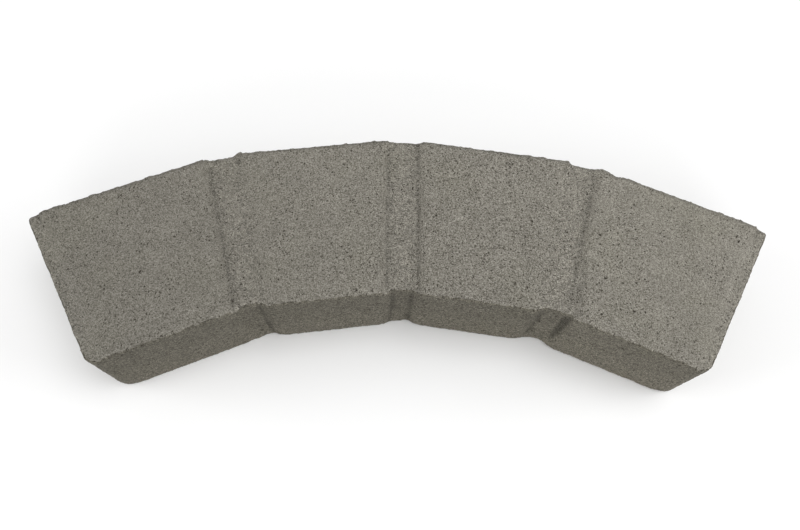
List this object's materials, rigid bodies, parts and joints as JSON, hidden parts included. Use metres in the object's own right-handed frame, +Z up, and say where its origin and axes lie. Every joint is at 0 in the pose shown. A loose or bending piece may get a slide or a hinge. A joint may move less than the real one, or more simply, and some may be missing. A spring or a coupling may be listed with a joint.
{
  "type": "curved concrete kerb stone",
  "caption": "Curved concrete edging stone that lies flat and reads as a row of setts on a bend, with shallow false joints between them.",
  "frame": {"origin": "middle of the underside's bounding box, on the surface that the stone lies on", "axes": "+X along the chord of the bend, +Y towards the outer (convex) side, +Z up"},
  "size_m": [0.4348, 0.1426, 0.06],
  "materials": {
    "concrete": "dry-pressed sandy concrete, warm grey, rough and matt, open fine pores"
  },
  "bodies": {
    "root": {"kerb_stone": "concrete"}
  },
  "joints": []
}
